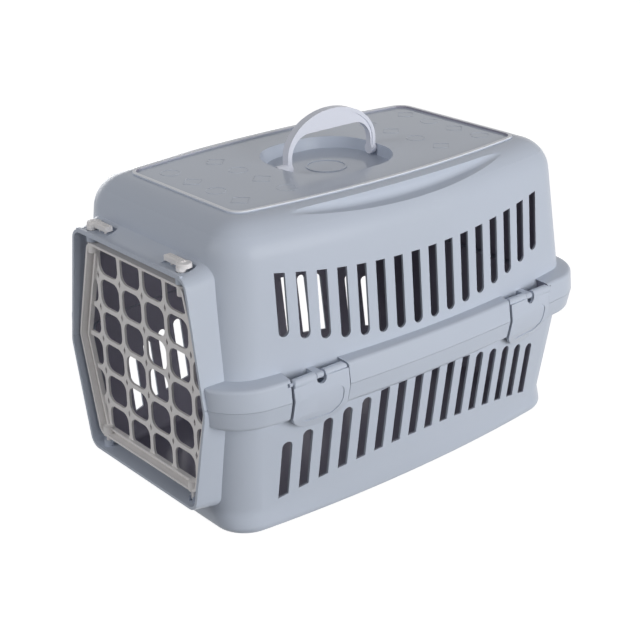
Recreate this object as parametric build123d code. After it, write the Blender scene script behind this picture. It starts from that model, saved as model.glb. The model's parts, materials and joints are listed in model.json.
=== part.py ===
"""Moulded plastic pet carrier: lower tub, upper shell, lattice door with two lift knobs,
folding carrying handle and four side clips.

Frame: x runs across the carrier, the door faces -y, z is up, and the floor is z = 0.
All sizes are in millimetres.
"""
import os
from build123d import *

# Overall shape.
WALL = 2.4                 # thickness of both shells
PARTING = 146.0            # height where the two shells meet
SEAM_GAP = 0.15            # each shell stops this far from the parting height
TONGUE_IN, TONGUE_THICK = 3.8, 1.6        # tub's inner edge that keeps the shells in line
TONGUE_LOW, TONGUE_RISE = 126.0, 3.6      # its lower end, and how far it stands above the parting
ROOF = 308.8               # height of the flat roof panel
SHOULDER = 36.0            # rounding between walls and roof
FOOT_ROUND = 9.0           # rounding between walls and floor
UPPER_CORNER, LOWER_CORNER = 40.0, 42.0   # rounding of the upright corners
UPPER_HALF, UPPER_DRAFT = 147.9, 0.079    # half width at the parting, and its loss per mm of rise
LOWER_HALF, LOWER_DRAFT = 151.8, 0.147    # half width at the parting, and its loss per mm of drop
UPPER_FRONT, UPPER_FRONT_DRAFT = 228.5, 0.088         # the same for the distance of each end wall
UPPER_BACK, UPPER_BACK_DRAFT = 235.1, 0.130
LOWER_FRONT, LOWER_FRONT_DRAFT = 229.0, 0.070
LOWER_BACK, LOWER_BACK_DRAFT = 232.5, 0.080
KNEE = 24.0                # below this height the tub draws in to its footprint
FOOTPRINT = (0.0, 130.3, -215.8, 220.8, 2.2, 33.0)    # as the belt's outlines below
BOW = 4.4                  # how far the long walls fall back 100 mm from their middle
GAP = 0.3                  # space between pieces that only pass each other
OVERLAP = 1.0              # how far joined shapes reach into each other
BEYOND = 300.0             # further from the middle than any part of the carrier

# Belt round the parting: height, half width, front, back, bow and corner of each outline.
BELT_TOP = (168.5, 145.2, -225.5, 231.0, 4.4, 39.0)
BELT_CREASE = (167.0, 157.8, -243.2, 240.8, 2.7, 52.0)
BELT_MIDDLE = (PARTING, 161.2, -244.0, 243.0, 3.0, 56.0)
BELT_EDGE = (127.2, 156.9, -240.0, 239.7, 3.0, 51.0)
BELT_UNDER = (119.0, 146.8, -226.0, 229.4, 4.4, 41.0)
CREASE_ROUND, EDGE_ROUND = 4.0, 5.0       # rounding of the belt's upper and lower crease
LEDGE_SHARE, UNDER_SHARE = 1.0, 0.5       # height that the belt's faces lose per mm of inset
BELT_END = -239.6                         # the belt stops here, behind the hood's front face
FLANGE_WIDE, FLANGE_TALL = 7.5, 2.4       # level edge of the tub that the upper shell stands on

# Ventilation slots: the same 16 along each wall, above and below the belt.
SLOT_COUNT, SLOT_PITCH, SLOT_WIDTH = 16, 22.0, 11.0
UPPER_SLOT_LOW, UPPER_SLOT_LOW_RISE = 175.3, 9.6      # lower ends, and their rise 100 mm from the middle
UPPER_SLOT_HIGH, UPPER_SLOT_HIGH_RISE = 247.6, 5.2
LOWER_SLOT_LOW, LOWER_SLOT_LOW_DROP = 51.9, 6.6
LOWER_SLOT_HIGH, LOWER_SLOT_HIGH_DROP = 122.7, 10.0
SQUARE_SLOTS = range(5, 11)                           # lower slots cut square by the belt

# Hood round the door: corners of the front outline, and how far its sides and its top flare at each depth.
LIP_Y = -243.0
HOOD_CORNERS = ((93.0, 266.0), (113.5, 141.0), (90.0, 31.0))
HOOD_ROUNDS = (13.0, 20.0, 13.0)
HOOD_FLARE = ((LIP_Y, 0.0, 0.0), (-236.0, 1.1, 0.5), (-228.0, 2.3, 2.5), (-214.0, 4.5, 9.0))
HOOD_WALL = 2.8
HOOD_INSIDE = -224.5                                  # the hood's side walls reach in this far
LIP_RISE, LIP_DEPTH, LIP_BAND, LIP_HALF = 1.6, 3.0, 8.0, 86.0     # raised edge along the top of the hood
MOUTH_DEEP = 40.0
TONGUE_END_X, TONGUE_END_Y = 117.0, -205.0            # the tongue stops clear of the hood

# Door.
DOOR_CORNERS = ((79.0, 253.5), (107.0, 149.0), (83.0, 45.5))
DOOR_ROUNDS = (10.0, 16.0, 10.0)
DOOR_FRONT, DOOR_BACK = -237.0, -226.6
RIM_BEAD, RIM_GROOVE = 2.4, 2.8                       # width of both beads of the rim, and between them
SINGLE_HALF, SINGLE_DEEP = 67.0, 30.0                 # top stretch of the rim that has one bead only
LATTICE_FRONT, LATTICE_LAP, LOW_BEAD_FRONT = -229.0, 0.5, -231.4
CELL_X, CELL_Z, CELL_COUNT = 37.9, 34.3, 6
CELL_CENTRE = 150.0
BAR_UPRIGHT, BAR_LEVEL = 5.2, 4.8
CELL_ROUND = 9.5
EYELET_WIDE, EYELET_TALL = 3.6, 8.4
HINGE_X, HINGE_Y = 74.0, -233.0
HINGE_SIDE, OPEN_SIDE = -1, 1                         # the door hangs on its left pins
PIN_R = 2.5
RUN_FIT = 0.08                                        # radial clearance of pins that turn
SOCKET_R = 4.9
SOCKET_DEEP, SOCKET_TALL = 2.8, 10.0
FOOT_PIN_LONG = 9.0

# Lift knobs on the hood.
KNOB_BASE, KNOB_Y = 269.6, -229.5                     # underside and depth of the finger bars
KNOB_DISC_R, KNOB_DISC_TALL = 7.2, 4.2
KNOB_BAR_LONG, KNOB_BAR_DEEP, KNOB_BAR_TALL = 26.0, 7.6, 5.4
KNOB_RIDGES, RIDGE_PITCH, RIDGE_GAP = 3, 2.4, 0.9     # grooves along the bar, their spacing and size
KNOB_COLLAR_R, KNOB_COLLAR_TALL = 4.6, 2.9
KNOB_ROUND = 1.2
LOCK_SHORT = 2.9                                      # the free knob's pin is this much shorter
LEG_R, LEG_TALL, LEG_STEPS = 1.2, 5.0, (10.0, 19.0)   # guide legs under the finger bar
SLIDE_FIT = 0.35
SEAT_Z, SEAT_FRONT, SEAT_BACK = 266.3, -239.4, -221.4 # level place on the hood that each knob comes down to
SEAT_IN, SEAT_OUT, SEAT_ROUND = 28.0, 9.0, 2.0
GUIDE_R, GUIDE_LOW = 5.6, 255.0                       # bosses under the hood that guide the pins
STOP_LOW_Z, STOP_HIGH_Z = 88.0, 205.0                 # ribs that the door closes against
STOP_LONG, STOP_DEEP, STOP_HALF, STOP_GAP = 15.0, 6.0, 4.0, 0.4
FOOT_SOCKET_R, FOOT_SOCKET_TOP = 5.0, 40.0

# Roof details.
RIM_HALF, RIM_FRONT, RIM_BACK, RIM_BOW, RIM_CORNER = 101.0, -181.6, 184.2, 4.6, 16.0
RIM_WIDE, RIM_TOP = 3.6, 310.7
SCOOP_IN, SCOOP_IN_BOW = 112.0, 4.0                   # long step in each shoulder: its inner edge
SCOOP_LOW, SCOOP_LOW_BOW = 295.5, 5.2                 # and its floor, with their change at 100 mm
SCOOP_REACH, SCOOP_ROUND = 200.0, 6.0

# Handle and its recess.
RECESS_Y, RECESS_HALF_X, RECESS_HALF_Y, RECESS_CORNER = -2.0, 61.5, 64.0, 52.0
RECESS_FLOOR = 297.0
FLOOR_Y, FLOOR_IN_X, FLOOR_IN_Y = 1.0, 5.0, 4.0       # its floor: centre, and loss of half size
BAY_HALF = 6.6                                        # half width of the upright bays for the feet
HANDLE_Y, PIVOT_Z = 3.3, 304.0
HANDLE_HALF, HANDLE_TOP, ARCH_Z = 57.3, 356.2, 315.5  # outside of the arch; the legs are upright below ARCH_Z
GRIP_LOW, GRIP_ROUND = 336.0, 22.0                    # underside of the grip and rounding of its ends
HANDLE_LEG = 5.8
FLANGE_HALF, FLANGE_THICK, WEB_HALF = 4.3, 3.7, 3.3
FOOT_R, FOOT_GAP = 5.5, 0.5
TRUNNION_R, TRUNNION_LONG = 3.0, 5.4
TRUNNION_BACK, BOSS_HALF = 8.0, 7.0                   # depth and half width of the blocks that carry them
MEDALLION_R, MEDALLION_WIDE, MEDALLION_RISE = 21.0, 2.0, 0.8

# Side clips.
CLIP_Y = (-141.2, 138.5)
CLIP_HALF, CLIP_CORNER, CORNER_LEAST = 30.5, 4.0, 1.0
CLIP_SIDE_LOW, CLIP_MID_LOW = 127.0, 108.5
CLIP_GAP = 2.0
CLIP_PROUD, CLIP_THICK = 1.5, 3.0
CHEEK_TOE = (107.0, 149.9, -230.0, 234.0, 4.4, 42.0)  # outline of the clips' lower edge, as the belt's
CHEEK_THICK = 1.6
CLIP_AXIS_Z, KNUCKLE_R, CLIP_PIN_R, CLIP_PIN_REACH = 163.0, 4.6, 1.8, 1.8
POCKET_START = 130.0                                  # inside the walls: only the belt is cut from here out
FLARE, FLARE_LOW = 9.0, 119.0                         # rounding of the belt's corners beside a clip
NOTCH_HALF, NOTCH_LOW = 5.5, 156.3
LUG_HALF, LUG_REACH, LUG_ROOT = 3.8, 3.2, 132.0
DISH_HALF, DISH_LOW, DISH_HIGH, DISH_ROUND, DISH_DEEP = 24.5, 119.0, 151.6, 12.0, 0.8
HOOK_HALF, HOOK_LOW, HOOK_HIGH, HOOK_TIP = 9.0, 128.0, 131.4, 146.3
CATCH_LOW, CATCH_HIGH, CATCH_TIP, CATCH_HALF = 131.9, 135.6, 146.0, 13.0


def plan(z, half, front, back, bow, corner, inset=0.0):
    """Rounded outline at one height, with bowed long sides and straight ends."""
    half, front, back = half - inset, front + inset, back - inset
    x_front = half - bow * (front / 100) ** 2
    x_back = half - bow * (back / 100) ** 2
    right = ThreePointArc((x_front, front), (half, 0), (x_back, back))
    left = ThreePointArc((-x_back, back), (-half, 0), (-x_front, front))
    ends = [Line((x_back, back), (-x_back, back)), Line((-x_front, front), (x_front, front))]
    outline = make_face([right, ends[0], left, ends[1]])
    return Pos(0, 0, z) * fillet(outline.vertices(), corner - inset)


def belt_plan(level, inset=0.0, lift=0.0):
    """One of the belt's outlines, inset and lifted."""
    z, *rest = level
    return plan(z + lift, *rest, inset=inset)


def upper_plan(z, inset=0.0):
    rise = z - PARTING
    front, back = UPPER_FRONT - UPPER_FRONT_DRAFT * rise, UPPER_BACK - UPPER_BACK_DRAFT * rise
    return plan(z, UPPER_HALF - UPPER_DRAFT * rise, -front, back, BOW, UPPER_CORNER, inset)


def lower_plan(z, inset=0.0):
    drop = PARTING - z
    front, back = LOWER_FRONT - LOWER_FRONT_DRAFT * drop, LOWER_BACK - LOWER_BACK_DRAFT * drop
    return plan(z, LOWER_HALF - LOWER_DRAFT * drop, -front, back, BOW, LOWER_CORNER, inset)


def upper_block(inset=0.0):
    """Solid of the upper half, without hood or belt."""
    block = loft([upper_plan(PARTING, inset), upper_plan(ROOF - inset, inset)], ruled=True)
    rim = block.edges().group_by(Axis.Z)[-1]
    return fillet(rim, SHOULDER - inset)


def lower_block(inset=0.0):
    """Solid of the lower half, without hood or belt."""
    levels = [belt_plan(FOOTPRINT, inset, lift=inset), lower_plan(KNEE, inset), lower_plan(PARTING, inset)]
    block = loft(levels, ruled=True)
    rim = block.edges().group_by(Axis.Z)[0]
    return fillet(rim, FOOT_ROUND - inset)


def upper_belt(inset=0.0):
    crease = belt_plan(BELT_CREASE, inset, -LEDGE_SHARE * inset)
    face = loft([belt_plan(BELT_MIDDLE, inset), crease], ruled=True)
    ledge = loft([crease, belt_plan(BELT_TOP, inset, -LEDGE_SHARE * inset)], ruled=True)
    return soften(face + ledge, BELT_CREASE[0] - LEDGE_SHARE * inset, CREASE_ROUND - inset / 2)


def lower_belt(inset=0.0):
    edge = belt_plan(BELT_EDGE, inset, UNDER_SHARE * inset)
    face = loft([edge, belt_plan(BELT_MIDDLE, inset)], ruled=True)
    under = loft([belt_plan(BELT_UNDER, inset, UNDER_SHARE * inset), edge], ruled=True)
    return soften(face + under, BELT_EDGE[0] + UNDER_SHARE * inset, EDGE_ROUND - inset / 2)


def soften(belt, height, radius):
    """Round the belt's crease at one height."""
    crease = belt.edges().filter_by(lambda edge: abs(edge.bounding_box().min.Z - height) < 0.01
                                    and abs(edge.bounding_box().max.Z - height) < 0.01)
    return fillet(crease, radius)


def behind(y):
    """All the space behind one depth."""
    return block(-BEYOND, BEYOND, y, BEYOND, -BEYOND, 2 * BEYOND)


def hexagon(y, corners, rounds, grow=0.0, rise=None):
    """Six-sided outline in the plane at depth y, the same left and right."""
    return Plane.XZ.offset(-y) * hexagon_flat(corners, rounds, grow, rise)


def hexagon_flat(corners, rounds, grow=0.0, rise=None):
    """The same outline as a flat sketch; its sides and bottom move out by grow, its top by rise."""
    (top_x, top_z), (mid_x, mid_z), (low_x, low_z) = corners
    rise = grow if rise is None else rise
    right = [(top_x + grow, top_z + rise), (mid_x + grow, mid_z), (low_x + grow, low_z - grow)]
    left = [(-x, z) for x, z in reversed(right)]
    outline = make_face(Polyline(*right, *left, close=True))
    by_height = outline.vertices().group_by(Axis.Y)
    for level, radius in zip(by_height, reversed(rounds)):
        here = [v for v in outline.vertices() for w in level if (v.center() - w.center()).length < 0.01]
        outline = fillet(here, radius + grow)
    return outline


def hood_block():
    return loft([hexagon(y, HOOD_CORNERS, HOOD_ROUNDS, flare, rise) for y, flare, rise in HOOD_FLARE])


def mouth():
    """The way in through the hood, a straight six-sided prism."""
    front = hexagon(LIP_Y - OVERLAP, HOOD_CORNERS, HOOD_ROUNDS, -HOOD_WALL)
    return extrude(front, amount=-(MOUTH_DEEP + OVERLAP))


def hood_walls():
    """The part of the hood that stays solid where the belt wraps round it."""
    return hood_block() & block(-BEYOND, BEYOND, -BEYOND, HOOD_INSIDE, 0, BEYOND)


def slab(low, high):
    """Everything between two heights, wider than the carrier."""
    return Pos(0, 0, (low + high) / 2) * Box(2 * BEYOND, 2 * BEYOND, high - low)


def slot_cutter(y, low, high, square_low, square_high):
    """One slot through both long walls, square or rounded at each end."""
    half = SLOT_WIDTH / 2
    z_low, z_high = low(y), high(y)
    corners = [(y - half, low(y - half)), (y + half, low(y + half)),
               (y + half, high(y + half)), (y - half, high(y - half))]
    if not square_low:
        corners[0], corners[1] = (y - half, z_low + half), (y + half, z_low + half)
    if not square_high:
        corners[2], corners[3] = (y + half, z_high - half), (y - half, z_high - half)
    bottom = Line(corners[0], corners[1])
    if not square_low:
        bottom = ThreePointArc(corners[0], (y, z_low), corners[1])
    top = Line(corners[2], corners[3])
    if not square_high:
        top = ThreePointArc(corners[2], (y, z_high), corners[3])
    sides = [Line(corners[1], corners[2]), Line(corners[3], corners[0])]
    outline = make_face([bottom, sides[0], top, sides[1]])
    return extrude(Plane.YZ.offset(-BEYOND) * outline, amount=2 * BEYOND)


def slot_positions():
    return [(i - (SLOT_COUNT - 1) / 2) * SLOT_PITCH for i in range(SLOT_COUNT)]


def upper_slots():
    def low(y):
        return UPPER_SLOT_LOW + UPPER_SLOT_LOW_RISE * (y / 100) ** 2

    def high(y):
        return UPPER_SLOT_HIGH + UPPER_SLOT_HIGH_RISE * (y / 100) ** 2
    return [slot_cutter(y, low, high, False, True) for y in slot_positions()]


def lower_slots():
    def low(y):
        return LOWER_SLOT_LOW - LOWER_SLOT_LOW_DROP * (y / 100) ** 2

    def high(y):
        return LOWER_SLOT_HIGH - LOWER_SLOT_HIGH_DROP * (y / 100) ** 2
    return [slot_cutter(y, low, high, True, i in SQUARE_SLOTS) for i, y in enumerate(slot_positions())]


def belt_face_x(y, z):
    """How far out the belt's face stands at one place along the side."""
    low, high = (BELT_EDGE, BELT_MIDDLE) if z < PARTING else (BELT_MIDDLE, BELT_CREASE)
    share = (z - low[0]) / (high[0] - low[0])
    half = low[1] + share * (high[1] - low[1])
    bow = low[4] + share * (high[4] - low[4])
    return half - bow * (y / 100) ** 2


def clip_outline(y, grow=0.0):
    """Side view of a clip and its pocket: rounded top corners, curved lower edge."""
    left, right = y - CLIP_HALF - grow, y + CLIP_HALF + grow
    top = CLIP_AXIS_Z + KNUCKLE_R + grow
    side_low, mid_low = CLIP_SIDE_LOW - grow, CLIP_MID_LOW - grow
    edges = [Line((right, side_low), (right, top)), Line((right, top), (left, top)),
             Line((left, top), (left, side_low)),
             ThreePointArc((left, side_low), (y, mid_low), (right, side_low))]
    outline = make_face(edges)
    return fillet(outline.vertices().group_by(Axis.Y)[-1], max(CLIP_CORNER + grow, CORNER_LEAST))


def other_side(shape):
    return mirror(shape, about=Plane.YZ)


def outward(sketch, start=POCKET_START):
    """A side view given all the space to the right of one distance from the middle."""
    return extrude(Plane.YZ.offset(start) * sketch, amount=BEYOND)


def flares(y, grow):
    """What the rounding of the belt's two lower corners beside a clip takes away."""
    half = CLIP_HALF + CLIP_GAP
    made = []
    for side in (-1, 1):
        edge, far = y + side * half, y + side * (half + FLARE)
        square = Pos((edge + far) / 2, FLARE_LOW) * Rectangle(FLARE + 2 * grow, 2 * FLARE)
        made.append(square - Pos(far, FLARE_LOW + FLARE) * Circle(FLARE - grow))
    return made


def clip_pockets(grow=0.0):
    """The spaces in the belt that the four clips lie in."""
    right = []
    for y in CLIP_Y:
        pocket = clip_outline(y, CLIP_GAP + grow) + flares(y, grow)
        right.append(outward(pocket))
    return right + [other_side(pocket) for pocket in right]


def clip_axis_x(y):
    return belt_face_x(y, CLIP_AXIS_Z) + CLIP_PROUD - KNUCKLE_R


def bar_along_y(x, z, radius, low, high):
    return extrude(Plane.XZ.offset(-low) * Pos(x, z) * Circle(radius), amount=low - high)


def upright_bar(x, y, radius, low, high):
    return extrude(Pos(x, y, low) * Circle(radius), amount=high - low)


def block(x_low, x_high, y_low, y_high, z_low, z_high):
    centre = ((x_low + x_high) / 2, (y_low + y_high) / 2, (z_low + z_high) / 2)
    return Pos(*centre) * Box(abs(x_high - x_low), abs(y_high - y_low), z_high - z_low)


def recess_end(side):
    """Where the recess ends before or behind its centre."""
    return RECESS_Y + side * RECESS_HALF_Y


def recess(grow=0.0):
    """Hollow in the roof that the handle folds into, with an upright bay for each foot."""
    half_x, half_y = RECESS_HALF_X + grow, RECESS_HALF_Y + grow
    floor = RectangleRounded(2 * (half_x - FLOOR_IN_X), 2 * (half_y - FLOOR_IN_Y),
                             RECESS_CORNER - FLOOR_IN_X + grow)
    edge = RectangleRounded(2 * half_x, 2 * half_y, RECESS_CORNER + grow)
    hollow = loft([Pos(0, FLOOR_Y, RECESS_FLOOR - grow) * floor, Pos(0, RECESS_Y, RIM_TOP) * edge])
    bays = block(-BAY_HALF - grow, BAY_HALF + grow, recess_end(-1) - grow, recess_end(1) + grow,
                 RECESS_FLOOR - grow, RIM_TOP)
    return hollow + bays


def handle_bosses():
    """Blocks behind the ends of the recess that carry the handle's trunnions."""
    return [block(-BOSS_HALF, BOSS_HALF, recess_end(side), recess_end(side) + side * TRUNNION_BACK,
                  RECESS_FLOOR - OVERLAP, ROOF - OVERLAP) for side in (-1, 1)]


def trunnion_bores():
    made = []
    for side in (-1, 1):
        ends = (recess_end(side) - side * OVERLAP, recess_end(side) + side * (TRUNNION_BACK - WALL))
        made.append(bar_along_y(0, PIVOT_Z, TRUNNION_R + RUN_FIT, min(ends), max(ends)))
    return made


def rim_plan(inset=0.0):
    return plan(ROOF - OVERLAP, RIM_HALF, RIM_FRONT, RIM_BACK, RIM_BOW, RIM_CORNER, inset)


def roof_rim():
    """Bead round the flat roof panel."""
    return extrude(rim_plan() - rim_plan(RIM_WIDE), amount=RIM_TOP - ROOF + OVERLAP)


def bowed_edge(start, change):
    """Arc along y that starts at one value in the middle and changes towards both ends."""
    far = start + change * (SCOOP_REACH / 100) ** 2
    return ThreePointArc((-SCOOP_REACH, far), (0, start), (SCOOP_REACH, far)), far


def scoops(grow=0.0):
    """Long step taken out of each shoulder of the roof."""
    inner, inner_end = bowed_edge(SCOOP_IN - grow, -SCOOP_IN_BOW)
    around = Polyline((SCOOP_REACH, inner_end), (SCOOP_REACH, BEYOND), (-SCOOP_REACH, BEYOND),
                      (-SCOOP_REACH, inner_end))
    from_above = extrude(Plane.YX * make_face([inner, around]), amount=-2 * BEYOND)
    floor, floor_end = bowed_edge(SCOOP_LOW - grow, SCOOP_LOW_BOW)
    around = Polyline((SCOOP_REACH, floor_end), (SCOOP_REACH, 2 * BEYOND), (-SCOOP_REACH, 2 * BEYOND),
                      (-SCOOP_REACH, floor_end))
    step = from_above & outward(make_face([floor, around]), 0)
    corner = step.edges().sort_by_distance((SCOOP_IN - grow, 0, SCOOP_LOW - grow))[0]
    step = fillet(corner, SCOOP_ROUND + grow)
    return [step, other_side(step)]


def raised_lip():
    """Thin raised edge along the top of the hood."""
    grown = hexagon(LIP_Y, HOOD_CORNERS, HOOD_ROUNDS, LIP_RISE)
    top = HOOD_CORNERS[0][1]
    band = block(-LIP_HALF, LIP_HALF, -BEYOND, BEYOND, top - LIP_BAND, top + LIP_BAND)
    return extrude(grown, amount=-LIP_DEPTH) & band


def knob_seats():
    """What is cut from the hood's rising top so that each knob comes down on a level place."""
    right = block(HINGE_X - SEAT_IN, HINGE_X + SEAT_OUT, SEAT_FRONT, SEAT_BACK, SEAT_Z,
                  KNOB_BASE + KNOB_BAR_TALL)
    right = fillet(right.edges().filter_by(Axis.Z), SEAT_ROUND)
    return [right, other_side(right)]


def knob_guides():
    """Bosses under the hood round the knobs' pins."""
    return [upright_bar(x, HINGE_Y, GUIDE_R, GUIDE_LOW, SEAT_Z - OVERLAP) for x in (-HINGE_X, HINGE_X)]


def knob_holes():
    """Holes for the collars, the pins and the guide legs."""
    top = KNOB_BASE + KNOB_BAR_TALL
    holes = []
    for side in (-1, 1):
        x = side * HINGE_X
        holes.append(upright_bar(x, HINGE_Y, PIN_R + SLIDE_FIT, GUIDE_LOW - OVERLAP, top))
        holes.append(upright_bar(x, HINGE_Y, KNOB_COLLAR_R + SLIDE_FIT,
                                 KNOB_BASE - KNOB_COLLAR_TALL - LOCK_SHORT - GAP, top))
        for step in LEG_STEPS:
            holes.append(upright_bar(x - side * step, KNOB_Y, LEG_R + SLIDE_FIT, GUIDE_LOW, top))
    return holes


def door_stop(z):
    """Rib that the opening side of the door closes against."""
    (top_x, top_z), (mid_x, mid_z), (low_x, low_z) = HOOD_CORNERS
    end_x, end_z = (top_x, top_z) if z > mid_z else (low_x, low_z)
    hood_x = mid_x + (end_x - mid_x) * (z - mid_z) / (end_z - mid_z)
    front = DOOR_BACK + STOP_GAP
    return block(hood_x - STOP_LONG, hood_x - OVERLAP, front, front + STOP_DEEP, z - STOP_HALF, z + STOP_HALF)


def lugs():
    """Knuckles of the upper shell in the notches of the clips."""
    right = []
    for y in CLIP_Y:
        x = clip_axis_x(y)
        lug = block(LUG_ROOT, x, y - LUG_HALF, y + LUG_HALF, CLIP_AXIS_Z - LUG_REACH, CLIP_AXIS_Z + LUG_REACH)
        lug += bar_along_y(x, CLIP_AXIS_Z, LUG_REACH, y - LUG_HALF, y + LUG_HALF)
        right.append(lug - upper_block(WALL / 2))
    return right + [other_side(lug) for lug in right]


def clip_bores():
    reach = CLIP_HALF + CLIP_GAP + WALL + OVERLAP
    right = [bar_along_y(clip_axis_x(y), CLIP_AXIS_Z, CLIP_PIN_R + RUN_FIT, y - reach, y + reach)
             for y in CLIP_Y]
    return right + [other_side(bore) for bore in right]


def catches():
    """Ledge in each pocket of the tub that the clip's hook goes under."""
    right = [block(POCKET_START, CATCH_TIP, y - CATCH_HALF, y + CATCH_HALF, CATCH_LOW, CATCH_HIGH)
             - lower_block(WALL / 2) for y in CLIP_Y]
    return right + [other_side(catch) for catch in right]


def flange():
    """Level edge inside the tub's rim that the upper shell's wall stands on."""
    ring = lower_plan(PARTING, WALL / 2) - lower_plan(PARTING, FLANGE_WIDE)
    return extrude(Pos(0, 0, -SEAM_GAP) * ring, amount=-FLANGE_TALL) - mouth()


def medallion():
    """Low ring on the floor of the handle's recess."""
    ring = Circle(MEDALLION_R) - Circle(MEDALLION_R - MEDALLION_WIDE)
    start = RECESS_FLOOR - OVERLAP
    return extrude(Pos(0, RECESS_Y, start) * ring, amount=OVERLAP + MEDALLION_RISE)


def upper_shell():
    above = slab(PARTING + SEAM_GAP, PARTING + BEYOND)
    belt = (upper_belt() & behind(BELT_END)) - clip_pockets()
    outside = upper_block() + belt + (hood_block() & above) + raised_lip()
    outside = outside - scoops() + roof_rim() - recess() - knob_seats()
    cabin = upper_block(WALL) - scoops(WALL) - recess(WALL) - handle_bosses()
    rim_space = (upper_belt(WALL) & behind(BELT_END + WALL)) - clip_pockets(WALL)
    rim_space = rim_space - hood_walls() - upper_block()
    shell = (outside & above) - cabin - rim_space - mouth()
    shell = shell + knob_guides() - knob_holes() - upper_slots()
    shell = shell + medallion() + lugs() + door_stop(STOP_HIGH_Z)
    return shell - clip_bores() - trunnion_bores()


def sill():
    """Height of the hood's inner floor."""
    return HOOD_CORNERS[2][1] + HOOD_WALL


def foot_sockets():
    """Sockets for the door's two lower pins."""
    return [upright_bar(x, HINGE_Y, FOOT_SOCKET_R, sill() - OVERLAP, FOOT_SOCKET_TOP)
            for x in (-HINGE_X, HINGE_X)]


def foot_socket_bores():
    """Bores of the two sockets; the one on the opening side is open at the front."""
    top = FOOT_SOCKET_TOP + OVERLAP
    half = PIN_R + SLIDE_FIT
    hinge = upright_bar(HINGE_SIDE * HINGE_X, HINGE_Y, PIN_R + RUN_FIT, sill(), top)
    x = OPEN_SIDE * HINGE_X
    free = upright_bar(x, HINGE_Y, half, sill(), top)
    way_out = block(x - half, x + half, HINGE_Y - 2 * FOOT_SOCKET_R, HINGE_Y, sill(), top)
    return [hinge, free, way_out]


def tongue():
    """Thin upright wall inside the parting, left out at the clips and at the door."""
    outline = (TONGUE_LOW, *BELT_MIDDLE[1:])
    ring = plan(*outline, inset=TONGUE_IN) - plan(*outline, inset=TONGUE_IN + TONGUE_THICK)
    band = extrude(ring, amount=PARTING + TONGUE_RISE - TONGUE_LOW)
    band = band & (lower_belt() + slab(PARTING - OVERLAP, PARTING + BEYOND))
    front = block(-TONGUE_END_X, TONGUE_END_X, -BEYOND, TONGUE_END_Y, 0, BEYOND)
    return band - clip_pockets(WALL + SLIDE_FIT) - front


def lower_tub():
    below = slab(-BEYOND, PARTING - SEAM_GAP)
    belt = (lower_belt() & behind(BELT_END)) - clip_pockets()
    outside = lower_block() + belt + (hood_block() & below)
    rim_space = (lower_belt(WALL) & behind(BELT_END + WALL)) - clip_pockets(WALL)
    rim_space = rim_space - hood_walls() - lower_block()
    shell = (outside & below) - lower_block(WALL) - rim_space - mouth() - lower_slots()
    shell = shell + tongue() + foot_sockets() + door_stop(STOP_LOW_Z) + catches() + flange()
    return shell - foot_socket_bores()


def door_cells():
    """Openings of the lattice, rounded so that the bars widen where they cross."""
    cell = RectangleRounded(CELL_X - BAR_UPRIGHT, CELL_Z - BAR_LEVEL, CELL_ROUND)
    steps = [i - (CELL_COUNT - 1) / 2 for i in range(CELL_COUNT)]
    return Sketch() + [Pos(i * CELL_X, CELL_CENTRE + j * CELL_Z) * cell for i in steps for j in steps]


def eyelets():
    """Small lozenge holes where the bars cross."""
    half_w, half_t = EYELET_WIDE / 2, EYELET_TALL / 2
    lozenge = make_face(Polyline((0, half_t), (half_w, 0), (0, -half_t), (-half_w, 0), close=True))
    steps = [i - CELL_COUNT / 2 for i in range(1, CELL_COUNT)]
    return [Pos(i * CELL_X, CELL_CENTRE + j * CELL_Z) * lozenge for i in steps for j in steps]


def door_outline(inset=0.0):
    """The door's outline as a flat sketch."""
    return hexagon_flat(DOOR_CORNERS, DOOR_ROUNDS, -inset)


def prism(sketch, front, back):
    """A flat sketch stood up and given the space between two depths."""
    return extrude(Plane.XZ.offset(-back) * sketch, amount=back - front)


def under_top_bead(inset):
    """Top stretch of the door inside its outer bead, where there is no second bead."""
    top = DOOR_CORNERS[0][1]
    return door_outline(inset) & Pos(0, top - SINGLE_DEEP / 2) * Rectangle(2 * SINGLE_HALF, SINGLE_DEEP)


def door():
    """Lattice in a rim with a deep outer bead and a low inner one, pin sockets above, foot pins below."""
    inner = 2 * RIM_BEAD + RIM_GROOVE
    field = door_outline(inner) + under_top_bead(RIM_BEAD)
    panel = prism(door_outline() - door_outline(RIM_BEAD), DOOR_FRONT, DOOR_BACK)
    panel += prism(door_outline(RIM_BEAD + RIM_GROOVE) - field, LOW_BEAD_FRONT, DOOR_BACK)
    openings = (door_cells() & field) + eyelets()
    panel += prism(door_outline(RIM_BEAD - LATTICE_LAP) - openings, LATTICE_FRONT, DOOR_BACK)
    top, bottom = DOOR_CORNERS[0][1], DOOR_CORNERS[2][1]
    for side, fit in ((HINGE_SIDE, RUN_FIT), (OPEN_SIDE, SLIDE_FIT)):
        x = side * HINGE_X
        panel += upright_bar(x, HINGE_Y, SOCKET_R, top - SOCKET_TALL, top)
        panel += upright_bar(x, HINGE_Y, SOCKET_R, bottom, bottom + SOCKET_TALL)
        panel += upright_bar(x, HINGE_Y, PIN_R, bottom - FOOT_PIN_LONG, bottom + OVERLAP)
        panel -= upright_bar(x, HINGE_Y, PIN_R + fit, top - SOCKET_DEEP, top + OVERLAP)
    return panel


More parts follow.
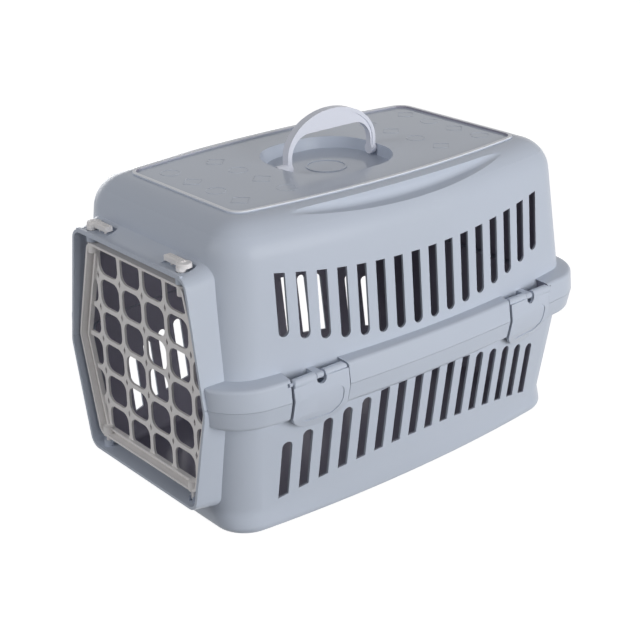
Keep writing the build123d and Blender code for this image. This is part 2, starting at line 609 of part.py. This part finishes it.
def finger_bar(side, base):
    """Bar towards the middle with grooves along its top, on two guide legs."""
    x = side * HINGE_X
    bar = block(x, x - side * KNOB_BAR_LONG, KNOB_Y - KNOB_BAR_DEEP / 2, KNOB_Y + KNOB_BAR_DEEP / 2,
                base, base + KNOB_BAR_TALL)
    bar = fillet(bar.edges().group_by(Axis.Z)[-1], KNOB_ROUND)
    for i in range(KNOB_RIDGES):
        y = KNOB_Y + (i - (KNOB_RIDGES - 1) / 2) * RIDGE_PITCH
        bar -= block(x, x - side * (KNOB_BAR_LONG + OVERLAP), y - RIDGE_GAP / 2, y + RIDGE_GAP / 2,
                     base + KNOB_BAR_TALL - RIDGE_GAP, base + KNOB_BAR_TALL + OVERLAP)
    for step in LEG_STEPS:
        bar += upright_bar(x - side * step, KNOB_Y, LEG_R, base - LEG_TALL, base + OVERLAP)
    return bar


def knob(side):
    """Lift knob: disc and finger bar, with a collar and the door pin below."""
    x = side * HINGE_X
    disc = upright_bar(x, KNOB_Y, KNOB_DISC_R, KNOB_BASE, KNOB_BASE + KNOB_DISC_TALL)
    disc = fillet(disc.edges().group_by(Axis.Z)[-1], KNOB_ROUND)
    collar = upright_bar(x, HINGE_Y, KNOB_COLLAR_R, KNOB_BASE - KNOB_COLLAR_TALL, KNOB_BASE + OVERLAP)
    tip = DOOR_CORNERS[0][1] - SOCKET_DEEP + GAP
    if side == OPEN_SIDE:
        tip += LOCK_SHORT
    pin = upright_bar(x, HINGE_Y, PIN_R, tip, KNOB_BASE + OVERLAP)
    return disc + finger_bar(side, KNOB_BASE) + collar + pin


def outer_arch(inset=0.0):
    """Arch from foot to foot in the y-z plane: upright legs under half an oval."""
    half, rise = HANDLE_HALF - inset, HANDLE_TOP - ARCH_Z - inset
    oval = Ellipse(half, rise) & Pos(0, rise) * Rectangle(2 * half, 2 * rise)
    legs = Pos(0, (PIVOT_Z + ARCH_Z) / 2) * Rectangle(2 * half, ARCH_Z - PIVOT_Z)
    return Pos(0, ARCH_Z) * oval + legs


def grip_hole():
    """Space for the hand under the grip, in the y-z plane."""
    half = HANDLE_HALF - HANDLE_LEG
    deep = 2 * GRIP_ROUND + GRIP_LOW - PIVOT_Z
    return Pos(0, GRIP_LOW - deep / 2) * RectangleRounded(2 * half, deep, GRIP_ROUND)


def handle():
    """Carrying arch with an outer flange over a thin web, and a foot with a trunnion at each end."""
    outer = outer_arch()
    band = outer - outer_arch(FLANGE_THICK)
    body = extrude(Plane.YZ.offset(-FLANGE_HALF) * band, amount=2 * FLANGE_HALF)
    body += extrude(Plane.YZ.offset(-WEB_HALF) * (outer - grip_hole()), amount=2 * WEB_HALF)
    body = Pos(0, HANDLE_Y, 0) * body
    for side in (-1, 1):
        inner = HANDLE_Y + side * (HANDLE_HALF - HANDLE_LEG)
        foot = recess_end(side) - side * FOOT_GAP
        tip = foot + side * TRUNNION_LONG
        body += bar_along_y(0, PIVOT_Z, FOOT_R, min(inner, foot), max(inner, foot))
        body += bar_along_y(0, PIVOT_Z, TRUNNION_R, min(inner, tip), max(inner, tip))
    return body


def clip_block(inset):
    """Solid with the belt's faces down to its lower crease and a cheek from there to the wall."""
    toe_inset = CHEEK_THICK * (inset + CLIP_PROUD) / CLIP_THICK
    edge = belt_plan(BELT_EDGE, inset, UNDER_SHARE * inset)
    face = loft([edge, belt_plan(BELT_MIDDLE, inset)], ruled=True)
    cheek = loft([belt_plan(CHEEK_TOE, toe_inset), edge], ruled=True)
    return face + cheek + upper_belt(inset)


def clip_skin(outer, inner):
    """Band between two distances inside the clips' faces."""
    return clip_block(outer) - clip_block(inner)


def notch(y):
    """Opening at the top of a clip, round at its lower end, that the lug stands in."""
    centre = NOTCH_LOW + NOTCH_HALF
    above = Pos(y, centre + BEYOND / 2) * Rectangle(2 * NOTCH_HALF, BEYOND)
    return above + Pos(y, centre) * Circle(NOTCH_HALF)


def dish(y):
    """Side view of the thumb's dish, rounded at its upper corners and in line with the clip below."""
    outline = Pos(y, (DISH_LOW + DISH_HIGH) / 2) * Rectangle(2 * DISH_HALF, DISH_HIGH - DISH_LOW)
    outline = fillet(outline.vertices(), DISH_ROUND)
    return outline & clip_outline(y, DISH_HALF - CLIP_HALF)


def clip(y, band, dish_skin):
    """Clip on the right side: plate over the belt, knuckle, dish for the thumb, hook and pins."""
    x = clip_axis_x(y)
    above_axis = Pos(y, CLIP_AXIS_Z + BEYOND / 2) * Rectangle(BEYOND, BEYOND)
    plate = outward(clip_outline(y) - above_axis) & band
    plate += bar_along_y(x, CLIP_AXIS_Z, KNUCKLE_R, y - CLIP_HALF, y + CLIP_HALF) & outward(clip_outline(y))
    plate -= outward(notch(y))
    plate -= outward(dish(y)) & dish_skin
    root = belt_face_x(y, HOOK_HIGH) + CLIP_PROUD - CLIP_THICK + OVERLAP
    plate += block(HOOK_TIP, root, y - HOOK_HALF, y + HOOK_HALF, HOOK_LOW, HOOK_HIGH)
    reach = CLIP_HALF + CLIP_GAP + CLIP_PIN_REACH
    return plate + bar_along_y(x, CLIP_AXIS_Z, CLIP_PIN_R, y - reach, y + reach)


def clips():
    """The four clips, by name."""
    band = clip_skin(-CLIP_PROUD, CLIP_THICK - CLIP_PROUD)
    dish_skin = clip_skin(-CLIP_PROUD - OVERLAP, DISH_DEEP - CLIP_PROUD)
    made = {}
    for place, y in zip(("front", "rear"), CLIP_Y):
        made[f"clip_right_{place}"] = clip(y, band, dish_skin)
        made[f"clip_left_{place}"] = other_side(made[f"clip_right_{place}"])
    return made


def main():
    os.makedirs("parts", exist_ok=True)
    pieces = {"door_grille": door(), "carry_handle": handle(),
              "door_knob_left": knob(HINGE_SIDE), "door_knob_right": knob(OPEN_SIDE)}
    pieces.update(clips())
    pieces.update({"upper_shell": upper_shell(), "lower_tub": lower_tub()})
    for name, piece in pieces.items():
        export_step(piece, f"parts/{name}.step")


main()
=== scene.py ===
"""Looks of the moulded plastic pet carrier.

Frame, in metres: x across the carrier, the door faces -y, z up, floor at z = 0.
"""

import json
import math
import bmesh
import bpy
from mathutils import Matrix, Vector

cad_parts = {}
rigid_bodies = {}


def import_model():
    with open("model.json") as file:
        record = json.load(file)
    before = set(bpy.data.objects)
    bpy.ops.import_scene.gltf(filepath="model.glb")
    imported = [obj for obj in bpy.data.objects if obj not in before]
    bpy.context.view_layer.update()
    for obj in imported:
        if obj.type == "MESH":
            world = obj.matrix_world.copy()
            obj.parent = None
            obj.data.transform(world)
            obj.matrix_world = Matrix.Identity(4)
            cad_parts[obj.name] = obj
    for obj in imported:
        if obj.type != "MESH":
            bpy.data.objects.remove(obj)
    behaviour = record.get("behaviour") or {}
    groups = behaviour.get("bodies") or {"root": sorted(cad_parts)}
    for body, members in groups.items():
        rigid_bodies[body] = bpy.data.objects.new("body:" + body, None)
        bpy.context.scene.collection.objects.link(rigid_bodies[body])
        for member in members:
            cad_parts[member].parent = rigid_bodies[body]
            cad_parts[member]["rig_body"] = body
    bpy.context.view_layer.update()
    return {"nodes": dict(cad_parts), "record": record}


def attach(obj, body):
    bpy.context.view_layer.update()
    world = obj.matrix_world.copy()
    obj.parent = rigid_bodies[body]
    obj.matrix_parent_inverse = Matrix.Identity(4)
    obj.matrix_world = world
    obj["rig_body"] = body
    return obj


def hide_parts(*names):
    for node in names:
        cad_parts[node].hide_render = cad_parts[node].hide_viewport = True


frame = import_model()

# Camera, as in the photograph: its eye, and its turn, tilt and roll in degrees.
EYE = Vector((1.0358, -0.8770, 0.7153))
TURN, TILT, ROLL = 50.18, 23.394, -0.94
LENS, SENSOR = 79.07, 36.0

MERGE = 2e-6                  # corners of the triangles nearer than this are one
SHARP = math.radians(31)      # edges that turn more than this stay crisp

# Motifs on the roof: places of their middles, and their sizes.
ROOF_Z = 0.3088
MOTIF_FIELDS = ((-0.152, -0.098), (0.104, 0.160))     # front and rear field, from y to y
MOTIF_X, MOTIF_COLUMNS, MOTIF_ROWS = 0.056, 4, 2
MOTIF_LINE, LINE_SIDES = 0.00028, 8                   # radius of the raised line, and its sides
RING_SIZE, RING_CORNERS = 0.0095, 40
LOZENGE_SIZE, LOZENGE_CORNERS = RING_SIZE * 1.15, 4

# Cabin, whose inside faces get painted shade: middle and half size of its box, and the depth where its
# inner walls start behind the doorway.
CABIN_MIDDLE, CABIN_HALF = (0.0, 0.0, 0.155), (0.15, 0.225, 0.15)
CABIN_FRONT, CABIN_FADE = -0.216, 0.004

# Colours that come over the plastics' own colours: painted shade inside the cabin, rubbed wear, dust, and
# a painted highlight on the roof's bead.
# Painted shade: a darker, warmer colour on the shells' faces inside the cabin.
CABIN_PAINTED_SHADE = (0.30, 0.28, 0.35, 1)
RUBBED_TONE, RUBBED_SHARE = (0.75, 0.78, 0.82, 1), 0.35
DUST_TONE = (0.60, 0.58, 0.54, 1)
BEAD_PAINTED_HIGHLIGHT, BEAD_LOW, BEAD_HIGH = (0.95, 0.96, 0.98, 1), 0.3094, 0.3103   # painted highlight along the roof's bead, and the heights between which it lies
SHEEN = 0.16                  # strength of the plastics' reflections
CLOUDS = 0.6                  # share of the second colour in its clouds
GRAIN_IN_GLOSS = 0.25         # share of the grain in the roughness

# Finishes: both colours, roughness where smooth and where worn, relief of grain and waves, wear, dust,
# and for the shells the polish of level faces, the strength of the painted shade inside the cabin and of
# the painted highlight on the roof's bead.
FINISHES = {
    "shell_plastic": dict(colour=(0.54, 0.59, 0.68), second=(0.52, 0.57, 0.65), smooth=0.30, rough=0.58,
                          grain=0.010, waves=0.05, wear=0.25, dust=0.05, polish=0.20, shade=0.9, bead=0.7),
    "clip_plastic": dict(colour=(0.55, 0.60, 0.69), second=(0.53, 0.58, 0.67), smooth=0.32, rough=0.58,
                         grain=0.010, waves=0.02, wear=0.35, dust=0.04),
    "handle_plastic": dict(colour=(0.76, 0.78, 0.86), second=(0.72, 0.75, 0.83), smooth=0.22, rough=0.50,
                           grain=0.008, waves=0.02, wear=0.35, dust=0.03),
    "door_plastic": dict(colour=(0.88, 0.86, 0.85), second=(0.84, 0.82, 0.81), smooth=0.36, rough=0.60,
                         grain=0.015, waves=0.0, wear=0.30, dust=0.05),
}

# Studio: light of the surroundings, and the floor's own grey, its brightness to the eye and its size.
SURROUND, BACKDROP = (0.205, 0.205, 0.215, 1), (1, 1, 1, 1)
FLOOR_GREY, FLOOR_GLOW, FLOOR_SIZE = (0.34, 0.34, 0.34, 1), 0.91, 40

# Lamps: name, place, what they point at, diameter and power in watts.
LAMPS = (
    ("key", (2.7, 0.45, 0.60), (0, 0.03, 0.16), 2.2, 67),
    ("fill", (-0.5, -2.3, 1.3), (0, -0.1, 0.16), 1.4, 15),
    ("far side", (-2.6, 0.5, 0.35), (0, 0, 0.16), 1.8, 16),
)

SLOTS = {piece["node"]: piece["material_slot"] for piece in frame["record"]["subparts"]}
FLOAT, COLOUR, VECTOR = "NodeSocketFloat", "NodeSocketColor", "NodeSocketVector"


def camera():
    data = bpy.data.cameras.new("camera")
    data.lens, data.sensor_width = LENS, SENSOR
    turn, tilt, roll = (math.radians(angle) for angle in (TURN, TILT, ROLL))
    back = Vector((math.sin(turn) * math.cos(tilt), -math.cos(turn) * math.cos(tilt), math.sin(tilt)))
    right = Vector((math.cos(turn), math.sin(turn), 0))
    up = back.cross(right)
    side = right * math.cos(roll) + up * math.sin(roll)
    head = up * math.cos(roll) - right * math.sin(roll)
    made = bpy.data.objects.new("camera", data)
    made.matrix_world = Matrix.Translation(EYE) @ Matrix((side, head, back)).transposed().to_4x4()
    bpy.context.scene.collection.objects.link(made)
    bpy.context.scene.camera = made


def input_key(key):
    """A node's input as its words, or as its number where it is written i0, i1 and so on."""
    if key[0] == "i" and key[1:].isdigit():
        return int(key[1:])
    return key.replace("_", " ")


class Nodes:
    """A node tree, with short ways to add nodes and links."""

    def __init__(self, tree):
        self.tree = tree

    def add(self, kind, **values):
        """A new node with its settings and inputs by name; a value that is a socket is linked."""
        made = self.tree.nodes.new(kind)
        for key, value in values.items():
            if not isinstance(value, bpy.types.NodeSocket) and hasattr(made, key):
                setattr(made, key, value)
        for key, value in values.items():
            if isinstance(value, bpy.types.NodeSocket):
                self.link(value, made.inputs[input_key(key)])
            elif not hasattr(made, key):
                made.inputs[input_key(key)].default_value = value
        return made

    def link(self, source, target):
        self.tree.links.new(source, target)

    def place(self):
        return self.add("ShaderNodeTexCoord").outputs["Object"]

    def normal(self):
        return self.add("ShaderNodeNewGeometry").outputs["Normal"]

    def part(self, vector, axis):
        """One of the numbers of a vector, by its axis."""
        return self.add("ShaderNodeSeparateXYZ", Vector=vector).outputs[axis]

    def maths(self, operation, a, b, clamp=False):
        made = self.add("ShaderNodeMath", operation=operation, i0=a, i1=b)
        made.use_clamp = clamp
        return made.outputs[0]

    def times(self, a, b, clamp=False):
        return self.maths("MULTIPLY", a, b, clamp)

    def plus(self, a, b, clamp=False):
        return self.maths("ADD", a, b, clamp)

    def vector_maths(self, operation, a, b):
        return self.add("ShaderNodeVectorMath", operation=operation, i0=a, i1=b).outputs

    def ramp(self, value, low, high, to_low=0.0, to_high=1.0):
        made = self.add("ShaderNodeMapRange", Value=value, From_Min=low, From_Max=high, To_Min=to_low,
                        To_Max=to_high)
        return made.outputs[0]

    def noise(self, place, scale, detail=2.0, rough=0.5):
        made = self.add("ShaderNodeTexNoise", Vector=place, Scale=scale, Detail=detail, Roughness=rough)
        return made.outputs[0]

    def mix(self, share, a, b):
        """Two colours mixed; inputs 6 and 7 of the node are its colours."""
        made = self.tree.nodes.new("ShaderNodeMix")
        made.data_type = "RGBA"
        for socket, value in ((made.inputs["Factor"], share), (made.inputs[6], a), (made.inputs[7], b)):
            if isinstance(value, bpy.types.NodeSocket):
                self.link(value, socket)
            else:
                socket.default_value = value
        return made.outputs[2]


def group(name, inputs, outputs, fill):
    """A shader node group: sockets by name with their types, and a function that wires it."""
    tree = bpy.data.node_groups.new(name, "ShaderNodeTree")
    for label, kind, value in inputs:
        socket = tree.interface.new_socket(label, in_out="INPUT", socket_type=kind)
        if value is not None:
            socket.default_value = value
    for label, kind in outputs:
        tree.interface.new_socket(label, in_out="OUTPUT", socket_type=kind)
    nodes = Nodes(tree)
    given = nodes.add("NodeGroupInput")
    result = nodes.add("NodeGroupOutput")
    for label, socket in fill(nodes, given.outputs).items():
        nodes.link(socket, result.inputs[label])
    return tree


def moulded_skin(nodes, given):
    """Fine grain of the mould, faint flow waves, and the normal that they give."""
    place = nodes.place()
    grain = nodes.noise(place, scale=given["Grain Scale"], detail=3.0, rough=0.6)
    waves = nodes.noise(place, scale=14.0, detail=1.0)
    height = nodes.plus(nodes.times(grain, given["Grain"]), nodes.times(waves, given["Waves"]))
    bump = nodes.add("ShaderNodeBump", Strength=1.0, Distance=0.001, Height=height)
    return {"Normal": bump.outputs["Normal"], "Grain": grain}


def handling_wear(nodes, given):
    """Mask of rubbed patches crossed by fine scratches."""
    place = nodes.place()
    patches = nodes.ramp(nodes.noise(place, scale=9.0, detail=4.0, rough=0.6), low=0.52, high=0.70)
    along = nodes.add("ShaderNodeMapping", Vector=place, Scale=(60.0, 6.0, 60.0)).outputs[0]
    lines = nodes.ramp(nodes.noise(along, scale=9.0), low=0.60, high=0.66)
    scratch = nodes.times(patches, lines)
    both = nodes.plus(nodes.times(patches, 0.35), nodes.times(scratch, 0.65))
    return {"Wear": nodes.times(both, given["Amount"], clamp=True)}


def settled_dust(nodes, given):
    """Mask of dust that lies on what faces up, thicker in cloudy patches."""
    level = nodes.ramp(nodes.part(nodes.normal(), "Z"), low=0.55, high=1.0)
    cloud = nodes.ramp(nodes.noise(nodes.place(), scale=22.0, detail=5.0, rough=0.65), low=0.35, high=0.75)
    dust = nodes.times(nodes.times(level, cloud), given["Amount"], clamp=True)
    return {"Dust": dust, "Level": level}


def uneven_tone(nodes, given):
    """The plastic's colour with soft clouds of a second tone."""
    cloud = nodes.ramp(nodes.noise(nodes.place(), scale=5.0, detail=3.0), low=0.35, high=0.65)
    share = nodes.times(cloud, given["Amount"])
    return {"Colour": nodes.mix(share, given["Colour"], given["Second"])}


def cabin_shade_mask(nodes, given):
    """Mask of the faces that look into the cabin, behind the doorway, which take the painted shade."""
    place = nodes.place()
    from_middle = nodes.vector_maths("SUBTRACT", place, CABIN_MIDDLE)[0]
    scaled = nodes.vector_maths("DIVIDE", from_middle, CABIN_HALF)[0]
    outward = nodes.vector_maths("DOT_PRODUCT", scaled, nodes.normal())["Value"]
    behind = nodes.ramp(nodes.part(place, "Y"), low=CABIN_FRONT, high=CABIN_FRONT + CABIN_FADE)
    inward = nodes.ramp(outward, low=-0.55, high=-0.80)
    return {"Inside": nodes.times(nodes.times(inward, behind), given["Amount"], clamp=True)}


def groups():
    skin_inputs = [("Grain Scale", FLOAT, 900.0), ("Grain", FLOAT, 0.05), ("Waves", FLOAT, 0.0)]
    tone_inputs = [("Colour", COLOUR, None), ("Second", COLOUR, None), ("Amount", FLOAT, 0.5)]
    return {
        "cabin": group("cabin_shade_mask", [("Amount", FLOAT, 1.0)], [("Inside", FLOAT)], cabin_shade_mask),
        "skin": group("moulded_skin", skin_inputs, [("Normal", VECTOR), ("Grain", FLOAT)], moulded_skin),
        "wear": group("handling_wear", [("Amount", FLOAT, 0.5)], [("Wear", FLOAT)], handling_wear),
        "dust": group("settled_dust", [("Amount", FLOAT, 0.2)], [("Dust", FLOAT), ("Level", FLOAT)],
                      settled_dust),
        "tone": group("uneven_tone", tone_inputs, [("Colour", COLOUR)], uneven_tone),
    }


def node_tree(owner):
    owner.use_nodes = True
    owner.node_tree.nodes.clear()
    return Nodes(owner.node_tree)


def plastic(name, kit, colour, second, smooth, rough, grain, waves, wear, dust, polish=0.0, shade=0.0,
            bead=0.0):
    """Moulded plastic: clouded colour under wear, dust, the painted highlight on the roof's bead and the
    painted shade inside the cabin, and its gloss.
    """
    made = bpy.data.materials.new(name)
    nodes = node_tree(made)

    def use(kind, **values):
        placed = nodes.add("ShaderNodeGroup", node_tree=kit[kind])
        for key, value in values.items():
            placed.inputs[key].default_value = value
        return placed.outputs

    skin = use("skin", Grain=grain, Waves=waves)
    rubbed = use("wear", Amount=wear)["Wear"]
    settled = use("dust", Amount=dust)
    tone = use("tone", Colour=(*colour, 1), Second=(*second, 1), Amount=CLOUDS)["Colour"]
    shown = nodes.mix(nodes.times(rubbed, RUBBED_SHARE), tone, RUBBED_TONE)
    shown = nodes.mix(settled["Dust"], shown, DUST_TONE)
    height = nodes.part(nodes.place(), "Z")
    # Painted highlight: a pale band along the roof's bead.
    raised = nodes.times(nodes.ramp(height, BEAD_LOW, BEAD_HIGH), bead)
    shown = nodes.mix(raised, shown, BEAD_PAINTED_HIGHLIGHT)
    # Painted shade: the faces inside the cabin take a darker, warmer colour.
    shown = nodes.mix(use("cabin", Amount=shade)["Inside"], shown, CABIN_PAINTED_SHADE)

    matt = nodes.plus(rubbed, settled["Dust"], clamp=True)
    uneven = nodes.plus(nodes.times(skin["Grain"], GRAIN_IN_GLOSS), matt, clamp=True)
    roughness = nodes.ramp(uneven, low=0.05, high=1.0, to_low=smooth, to_high=rough)
    roughness = nodes.maths("SUBTRACT", roughness, nodes.times(settled["Level"], polish), clamp=True)

    shader = nodes.add("ShaderNodeBsdfPrincipled", Specular_IOR_Level=SHEEN)
    nodes.link(shown, shader.inputs["Base Color"])
    nodes.link(roughness, shader.inputs["Roughness"])
    nodes.link(skin["Normal"], shader.inputs["Normal"])
    out = nodes.add("ShaderNodeOutputMaterial")
    nodes.link(shader.outputs["BSDF"], out.inputs["Surface"])
    return made


def dressed(name, material):
    """A merged copy of a CAD node, smooth but for its crisp edges, that stands for it."""
    source = frame["nodes"][name]
    mesh = source.data.copy()
    mesh.name = name + "_skin"
    piece = bpy.data.objects.new(name + "_skin", mesh)
    bpy.context.scene.collection.objects.link(piece)
    shape = bmesh.new()
    shape.from_mesh(mesh)
    bmesh.ops.remove_doubles(shape, verts=shape.verts, dist=MERGE)
    for face in shape.faces:
        face.smooth = True
    for edge in shape.edges:
        edge.smooth = len(edge.link_faces) == 2 and edge.calc_face_angle(0) < SHARP
    shape.to_mesh(mesh)
    shape.free()
    mesh.materials.clear()
    mesh.materials.append(material)
    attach(piece, source["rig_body"])
    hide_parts(name)


def motif_tree():
    """Geometry nodes: a thin raised line, bent to a closed figure and repeated at every given point."""
    tree = bpy.data.node_groups.new("roof_motifs", "GeometryNodeTree")
    face = tree.interface
    face.new_socket("Geometry", in_out="INPUT", socket_type="NodeSocketGeometry")
    sockets = {}
    for label, kind in (("Corners", "NodeSocketInt"), ("Size", FLOAT), ("Line", FLOAT),
                        ("Paint", "NodeSocketMaterial")):
        sockets[label] = face.new_socket(label, in_out="INPUT", socket_type=kind).identifier
    face.new_socket("Geometry", in_out="OUTPUT", socket_type="NodeSocketGeometry")

    nodes = Nodes(tree)
    given = nodes.add("NodeGroupInput").outputs
    path = nodes.add("GeometryNodeCurvePrimitiveCircle", Resolution=given["Corners"], Radius=given["Size"])
    line = nodes.add("GeometryNodeCurvePrimitiveCircle", Resolution=LINE_SIDES, Radius=given["Line"])
    tube = nodes.add("GeometryNodeCurveToMesh")
    spread = nodes.add("GeometryNodeInstanceOnPoints")
    real = nodes.add("GeometryNodeRealizeInstances")
    paint = nodes.add("GeometryNodeSetMaterial")
    out = nodes.add("NodeGroupOutput")
    nodes.link(path.outputs[0], tube.inputs["Curve"])
    nodes.link(line.outputs[0], tube.inputs["Profile Curve"])
    nodes.link(given["Geometry"], spread.inputs["Points"])
    nodes.link(tube.outputs[0], spread.inputs["Instance"])
    nodes.link(spread.outputs[0], real.inputs[0])
    nodes.link(real.outputs[0], paint.inputs["Geometry"])
    nodes.link(given["Paint"], paint.inputs["Material"])
    nodes.link(paint.outputs[0], out.inputs[0])
    return tree, sockets


def motif_places(odd):
    """Middles of the roof's motifs, every second one of each field's grid."""
    places = []
    for low, high in MOTIF_FIELDS:
        for row in range(MOTIF_ROWS):
            for column in range(MOTIF_COLUMNS):
                if (row + column) % 2 != odd:
                    continue
                x = MOTIF_X * (2 * column / (MOTIF_COLUMNS - 1) - 1)
                y = low + (high - low) * row / (MOTIF_ROWS - 1)
                places.append((x, y, ROOF_Z))
    return places


def motif_piece(name, odd, tree, settings):
    """One kind of motif at all its places, as a plain mesh that rides on the upper shell."""
    points = bpy.data.meshes.new(name + "_points")
    points.from_pydata(motif_places(odd), [], [])
    piece = bpy.data.objects.new(name, points)
    bpy.context.scene.collection.objects.link(piece)
    spread = piece.modifiers.new("motifs", "NODES")
    spread.node_group = tree
    for socket, value in settings.items():
        spread[socket] = value
    bpy.context.view_layer.update()
    solid = bpy.data.meshes.new_from_object(piece.evaluated_get(bpy.context.evaluated_depsgraph_get()))
    piece.modifiers.clear()
    piece.data = solid
    for face in solid.polygons:
        face.use_smooth = True
    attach(piece, "shell")


def motifs(material):
    """Low rings and lozenges on the roof, taking turns in its front and rear field."""
    tree, sockets = motif_tree()
    for name, odd, corners, size in (("roof_rings", 0, RING_CORNERS, RING_SIZE),
                                     ("roof_lozenges", 1, LOZENGE_CORNERS, LOZENGE_SIZE)):
        given = {"Corners": corners, "Size": size, "Line": MOTIF_LINE, "Paint": material}
        motif_piece(name, odd, tree, {sockets[label]: value for label, value in given.items()})


def lamp(name, place, target, size, power):
    data = bpy.data.lights.new(name, "AREA")
    data.shape, data.size, data.energy = "DISK", size, power
    made = bpy.data.objects.new(name, data)
    made.location = place
    made.rotation_euler = (Vector(target) - Vector(place)).to_track_quat("-Z", "Y").to_euler()
    bpy.context.scene.collection.objects.link(made)


def looked_at(nodes):
    """One for the rays that show the background: camera, glossy and transmission rays."""
    path = nodes.add("ShaderNodeLightPath").outputs
    mirrored = nodes.maths("MAXIMUM", path["Is Glossy Ray"], path["Is Transmission Ray"])
    return nodes.maths("MAXIMUM", path["Is Camera Ray"], mirrored)


def backdrop():
    """White to the eye and in reflections, soft grey as light."""
    world = bpy.data.worlds.new("studio")
    bpy.context.scene.world = world
    nodes = node_tree(world)
    sky = nodes.add("ShaderNodeBackground", Color=nodes.mix(looked_at(nodes), SURROUND, BACKDROP))
    out = nodes.add("ShaderNodeOutputWorld")
    nodes.link(sky.outputs[0], out.inputs["Surface"])


def floor():
    """Pale floor that takes the carrier's shadow and is nearly white to the eye."""
    bpy.ops.mesh.primitive_plane_add(size=FLOOR_SIZE, location=(0, 0, 0))
    plane = bpy.context.object
    plane.name = "floor"
    paint = bpy.data.materials.new("floor_white")
    nodes = node_tree(paint)
    matt = nodes.add("ShaderNodeBsdfDiffuse", Color=FLOOR_GREY)
    glow = nodes.add("ShaderNodeEmission", Strength=nodes.times(looked_at(nodes), FLOOR_GLOW))
    both = nodes.add("ShaderNodeAddShader")
    nodes.link(matt.outputs[0], both.inputs[0])
    nodes.link(glow.outputs[0], both.inputs[1])
    out = nodes.add("ShaderNodeOutputMaterial")
    nodes.link(both.outputs[0], out.inputs["Surface"])
    plane.data.materials.append(paint)


camera()
backdrop()
floor()
for settings in LAMPS:
    lamp(*settings)

kit = groups()
PAINTS = {name: plastic(name, kit, **finish) for name, finish in FINISHES.items()}
for node_name, slot_name in SLOTS.items():
    dressed(node_name, PAINTS[slot_name])
motifs(PAINTS["shell_plastic"])

bpy.context.scene.view_settings.view_transform = "Standard"
